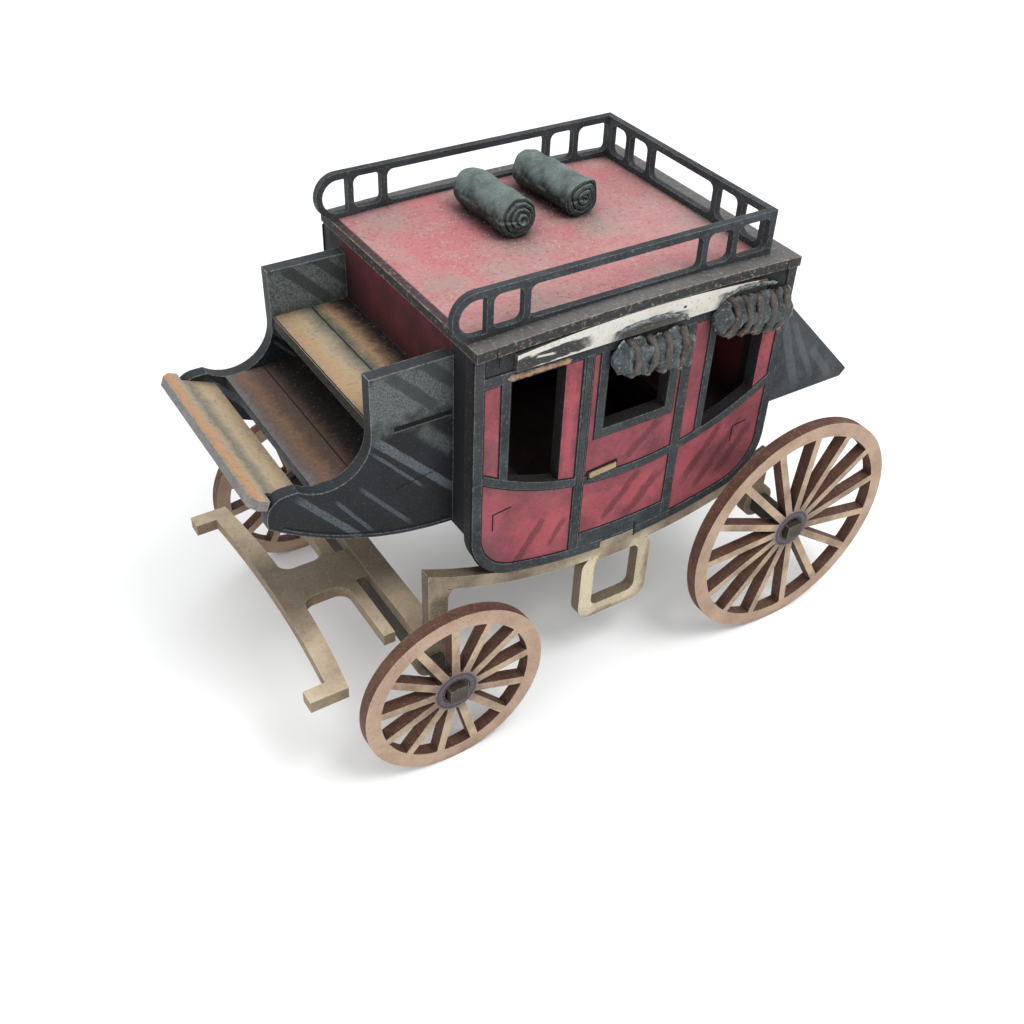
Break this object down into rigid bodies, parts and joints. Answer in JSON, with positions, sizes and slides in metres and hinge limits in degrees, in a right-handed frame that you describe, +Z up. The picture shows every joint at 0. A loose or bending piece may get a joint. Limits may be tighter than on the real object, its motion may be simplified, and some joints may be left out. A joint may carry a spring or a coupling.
{
  "type": "stagecoach model",
  "caption": "Tabletop model of a stagecoach: cut-sheet body with curved bottom, driver's box, roof rail, rear boot and four spoked wheels that turn.",
  "frame": {"origin": "on the ground, below the middle of the model's box", "axes": "+X towards the horses, +Y the coach's left, +Z up"},
  "size_m": [0.0792, 0.0464, 0.055],
  "materials": {
    "wheel_sheet": "dry brushed, burnt edges",
    "chassis_sheet": "dirty tan paint",
    "side_paint": "matt paint, weathered",
    "roof_paint": "matt paint, dusty",
    "letterboard_paint": "matt paint",
    "rail_paint": "matt paint, dry brushed",
    "box_paint": "matt paint, streaked",
    "plank_paint": "streaked tan paint",
    "floor_paint": "streaked brown paint",
    "boot_paint": "matt paint",
    "curtain_putty": "matt paint, dry brushed",
    "bedroll_putty": "matt paint",
    "inside_paint": "matt paint"
  },
  "bodies": {
    "coach": {"front_axle": "chassis_sheet", "rear_axle": "chassis_sheet", "splinter_bar": "chassis_sheet", "front_cross_plate": "chassis_sheet", "rear_cross_plate": "chassis_sheet", "chassis_side_left": "chassis_sheet", "chassis_side_right": "chassis_sheet", "body_side_left": "side_paint", "body_side_right": "side_paint", "body_floor": "inside_paint", "front_wall": "inside_paint", "rear_wall": "inside_paint", "toe_board_front": "inside_paint", "toe_board_rear": "inside_paint", "bench_front": "inside_paint", "bench_rear": "inside_paint", "roof_panel": "roof_paint", "letterboard_left": "letterboard_paint", "letterboard_right": "letterboard_paint", "rail_left": "rail_paint", "rail_right": "rail_paint", "rail_rear": "rail_paint", "box_side_left": "box_paint", "box_side_right": "box_paint", "driver_seat": "plank_paint", "footwell_floor": "floor_paint", "footboard": "plank_paint", "boot_side_left": "boot_paint", "boot_side_right": "boot_paint", "boot_cover": "boot_paint", "boot_floor": "boot_paint", "curtain_door_left": "curtain_putty", "curtain_rear_left": "curtain_putty", "curtain_front_right": "curtain_putty", "curtain_door_right": "curtain_putty", "curtain_rear_right": "curtain_putty", "bedroll_front": "bedroll_putty", "bedroll_rear": "bedroll_putty"},
    "front_left_wheel": {"wheel_front_left": "wheel_sheet"},
    "front_right_wheel": {"wheel_front_right": "wheel_sheet"},
    "rear_left_wheel": {"wheel_rear_left": "wheel_sheet"},
    "rear_right_wheel": {"wheel_rear_right": "wheel_sheet"}
  },
  "joints": [
    {"name": "front_left_spin", "type": "hinge", "parent": "coach", "child": "front_left_wheel", "pos_m": [0.02238, 0.02075, 0.011], "axis": [0, 1, 0], "continuous": true},
    {"name": "front_right_spin", "type": "hinge", "parent": "coach", "child": "front_right_wheel", "pos_m": [0.02238, -0.02075, 0.011], "axis": [0, 1, 0], "continuous": true},
    {"name": "rear_left_spin", "type": "hinge", "parent": "coach", "child": "rear_left_wheel", "pos_m": [-0.02462, 0.02175, 0.015], "axis": [0, 1, 0], "continuous": true},
    {"name": "rear_right_spin", "type": "hinge", "parent": "coach", "child": "rear_right_wheel", "pos_m": [-0.02462, -0.02175, 0.015], "axis": [0, 1, 0], "continuous": true}
  ]
}
